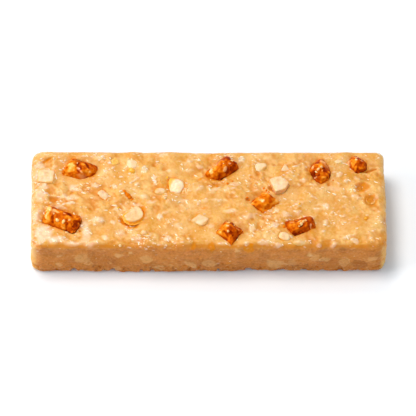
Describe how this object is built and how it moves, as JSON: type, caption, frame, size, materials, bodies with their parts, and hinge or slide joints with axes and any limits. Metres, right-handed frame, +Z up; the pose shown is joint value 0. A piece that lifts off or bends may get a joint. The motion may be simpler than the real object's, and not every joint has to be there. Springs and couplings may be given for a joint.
{
  "type": "protein bar",
  "caption": "Pressed slab of nutty dough with glazed pretzel pieces and chopped nuts set into its top, lying flat.",
  "frame": {"origin": "middle of the underside, on the surface that the bar rests on", "axes": "+X along the bar towards its right end as seen from the front, +Y across it away from the viewer, +Z up"},
  "size_m": [0.1434, 0.0468, 0.0229],
  "materials": {
    "dough": "moist nut-butter dough, soft gloss, slightly translucent, with fine nut bits in it",
    "pretzel": "baked pretzel crust under a thin glossy glaze, orange-brown to dark red-brown",
    "nut": "cream chopped peanut, waxy, satin",
    "toasted_nut": "amber toasted nut, oily, satin to glossy"
  },
  "bodies": {
    "root": {"dough_slab": "dough", "pretzel_piece_1": "pretzel", "pretzel_piece_2": "pretzel", "pretzel_piece_3": "pretzel", "pretzel_piece_4": "pretzel", "pretzel_piece_5": "pretzel", "pretzel_piece_6": "pretzel", "pretzel_piece_7": "pretzel", "pretzel_piece_8": "pretzel", "nut_slab_left": "nut", "peanut_half": "nut", "peanut_tip": "nut", "nut_flake_middle": "nut", "nut_cube": "nut", "nut_dome_back": "nut", "nut_chip_left": "nut", "nut_slab_back": "nut", "nut_wedge_back": "nut", "nut_sliver_back": "nut", "nut_wedge_front": "nut", "nut_chip_front": "nut", "nut_flake_front": "nut", "nut_bead_front": "nut", "toasted_bit_1": "toasted_nut", "toasted_bit_2": "toasted_nut", "toasted_bit_3": "toasted_nut"}
  },
  "joints": []
}
